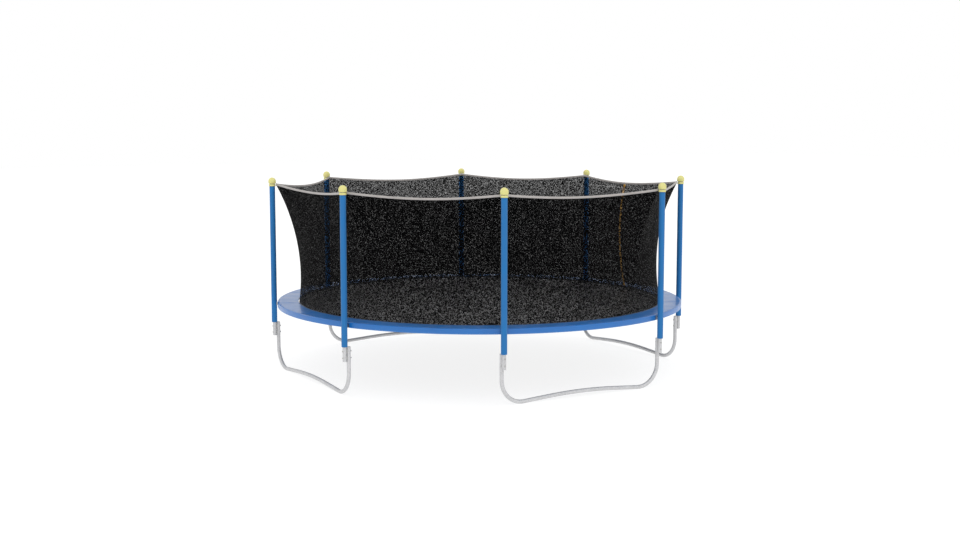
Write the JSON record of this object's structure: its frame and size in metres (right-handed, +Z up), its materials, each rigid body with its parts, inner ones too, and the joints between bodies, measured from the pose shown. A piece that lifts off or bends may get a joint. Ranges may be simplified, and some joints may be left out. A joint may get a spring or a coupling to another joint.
{
  "type": "trampoline",
  "caption": "Round garden trampoline with four U-shaped legs, foam-covered poles, a padded frame cover and a scalloped black safety net with a zipped door.",
  "frame": {"origin": "on the frame ring's axis, at the ground under the legs", "axes": "+Z up along the ring's axis; +X out through the middle of the door panel, whose leg is below it; +Y to the left when looking along +X"},
  "size_m": [4.606, 4.6057, 2.166],
  "materials": {
    "galvanised_tube": "satin",
    "zinc_hardware": "satin",
    "spring_steel": "gloss",
    "blue_foam": "satin",
    "pad_vinyl": "gloss",
    "cap_plastic": "satin",
    "mat_fabric": "satin",
    "mat_webbing": "matte",
    "net_mesh": "matte",
    "hem_webbing": "matte",
    "tie_elastic": "matte",
    "zip_tape": "matte",
    "zip_metal": "satin",
    "pull_tab": "matte"
  },
  "bodies": {
    "frame": {"leg_1": "galvanised_tube", "leg_2": "galvanised_tube", "leg_3": "galvanised_tube", "leg_4": "galvanised_tube", "top_rail_1": "galvanised_tube", "top_rail_2": "galvanised_tube", "top_rail_3": "galvanised_tube", "top_rail_4": "galvanised_tube", "top_rail_5": "galvanised_tube", "top_rail_6": "galvanised_tube", "top_rail_7": "galvanised_tube", "top_rail_8": "galvanised_tube", "lower_pole_1": "galvanised_tube", "lower_pole_2": "galvanised_tube", "lower_pole_3": "galvanised_tube", "lower_pole_4": "galvanised_tube", "lower_pole_5": "galvanised_tube", "lower_pole_6": "galvanised_tube", "lower_pole_7": "galvanised_tube", "lower_pole_8": "galvanised_tube", "upper_poles": "galvanised_tube", "foam_sleeve_1": "blue_foam", "foam_sleeve_2": "blue_foam", "foam_sleeve_3": "blue_foam", "foam_sleeve_4": "blue_foam", "foam_sleeve_5": "blue_foam", "foam_sleeve_6": "blue_foam", "foam_sleeve_7": "blue_foam", "foam_sleeve_8": "blue_foam", "pole_caps": "cap_plastic", "rail_screws": "zinc_hardware", "leg_spacers": "zinc_hardware", "rail_brackets": "zinc_hardware", "leg_bolts": "zinc_hardware", "rail_bolts": "zinc_hardware", "lock_nuts": "zinc_hardware", "springs": "spring_steel", "frame_pad": "pad_vinyl", "pad_ties": "tie_elastic", "net_panel_1": "net_mesh", "net_panel_2": "net_mesh", "net_panel_3": "net_mesh", "net_panel_4": "net_mesh", "net_panel_5": "net_mesh", "net_panel_6": "net_mesh", "net_panel_7": "net_mesh", "net_panel_8": "net_mesh", "net_top_hem": "hem_webbing", "net_ties": "tie_elastic", "zipper_tape": "zip_tape"},
    "mat": {"jumping_mat": "mat_fabric", "mat_edge_webbing": "mat_webbing", "mat_v_rings": "zinc_hardware", "net_bottom_hem": "mat_webbing"},
    "door_flap": {"door_flap": "net_mesh", "flap_zip_tape": "zip_tape"},
    "zip_slider": {"zipper_slider": "zip_metal"},
    "zip_pull": {"zipper_pull": "pull_tab"}
  },
  "joints": [
    {"name": "mat_bounce", "type": "slide", "parent": "frame", "child": "mat", "axis": [0, 0, -1], "range_m": [0, 0.2], "stiffness_N_per_m": 5000, "springref_m": -0.028, "deforming": ["springs"]},
    {"name": "door_swing", "type": "hinge", "parent": "frame", "child": "door_flap", "pos_m": [2.0575, 0.7605, 1.4], "axis": [0, 0, 1], "range_deg": [0, 60]},
    {"name": "zip_travel", "type": "hinge", "parent": "frame", "child": "zip_slider", "pos_m": [4.59376, 0, 1.43258], "axis": [0, -1, 0], "range_deg": [0, 25.36]},
    {"name": "pull_swing", "type": "hinge", "parent": "zip_slider", "child": "zip_pull", "pos_m": [2.0284, 0, 2.00051], "axis": [0, 1, 0], "range_deg": [0, 110]}
  ]
}
